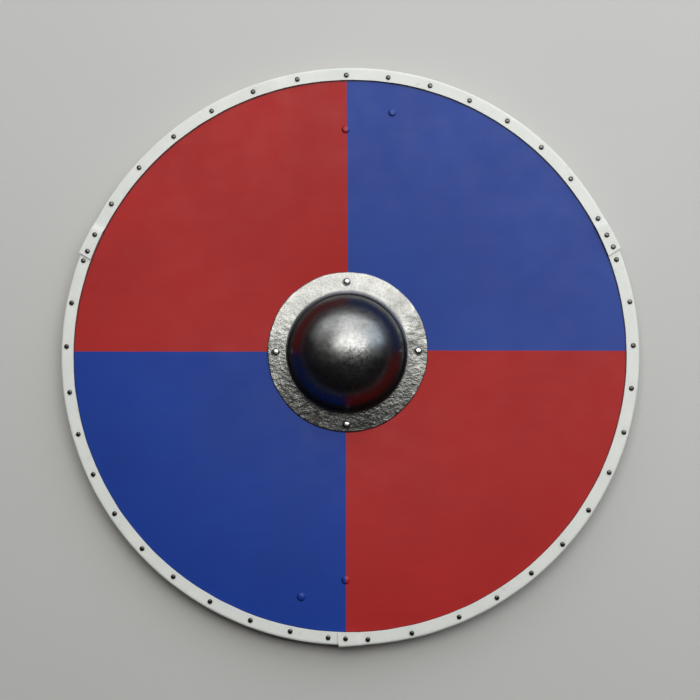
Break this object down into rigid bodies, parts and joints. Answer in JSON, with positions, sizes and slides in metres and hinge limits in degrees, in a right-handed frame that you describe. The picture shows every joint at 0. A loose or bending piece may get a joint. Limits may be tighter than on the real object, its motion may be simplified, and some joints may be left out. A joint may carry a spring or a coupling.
{
  "type": "wooden round shield",
  "caption": "Round wooden hand shield with a quartered painted face, a hollow steel boss, a tacked rawhide edge and a wooden grip bar across the back.",
  "frame": {"origin": "on the surface the shield lies on, under the middle of the board", "axes": "+Z out of the painted face, +Y along the grip bar towards the top of the shield, +X to the right seen from the front"},
  "size_m": [0.732, 0.7346, 0.104],
  "materials": {
    "painted_face": "satin hand-painted red and blue quarters on the front, bare wood behind",
    "rawhide": "pale dried rawhide, faintly mottled",
    "boss_steel": "polished by hand on the dome, hammered on the flange",
    "rivet_steel": "bright hammered heads",
    "painted_rivet": "painted over with the face",
    "tack_iron": "blackened iron",
    "bar_wood": "bare oiled wood"
  },
  "bodies": {
    "root": {"board": "painted_face", "rim-top": "rawhide", "rim-left": "rawhide", "rim-right": "rawhide", "boss": "boss_steel", "grip-bar": "bar_wood", "boss-rivet-right": "rivet_steel", "boss-rivet-top": "rivet_steel", "boss-rivet-left": "rivet_steel", "boss-rivet-bottom": "rivet_steel", "bar-rivet-top": "painted_rivet", "bar-rivet-bottom": "painted_rivet", "side-rivet-top": "painted_rivet", "side-rivet-bottom": "painted_rivet", "tack-01": "tack_iron", "tack-02": "tack_iron", "tack-03": "tack_iron", "tack-04": "tack_iron", "tack-05": "tack_iron", "tack-06": "tack_iron", "tack-07": "tack_iron", "tack-08": "tack_iron", "tack-09": "tack_iron", "tack-10": "tack_iron", "tack-11": "tack_iron", "tack-12": "tack_iron", "tack-13": "tack_iron", "tack-14": "tack_iron", "tack-15": "tack_iron", "tack-16": "tack_iron", "tack-17": "tack_iron", "tack-18": "tack_iron", "tack-19": "tack_iron", "tack-20": "tack_iron", "tack-21": "tack_iron", "tack-22": "tack_iron", "tack-23": "tack_iron", "tack-24": "tack_iron", "tack-25": "tack_iron", "tack-26": "tack_iron", "tack-27": "tack_iron", "tack-28": "tack_iron", "tack-29": "tack_iron", "tack-30": "tack_iron", "tack-31": "tack_iron", "tack-32": "tack_iron", "tack-33": "tack_iron", "tack-34": "tack_iron", "tack-35": "tack_iron", "tack-36": "tack_iron", "tack-37": "tack_iron", "tack-38": "tack_iron", "tack-39": "tack_iron", "tack-40": "tack_iron", "tack-41": "tack_iron", "tack-42": "tack_iron", "tack-43": "tack_iron", "tack-44": "tack_iron", "tack-45": "tack_iron"}
  },
  "joints": []
}
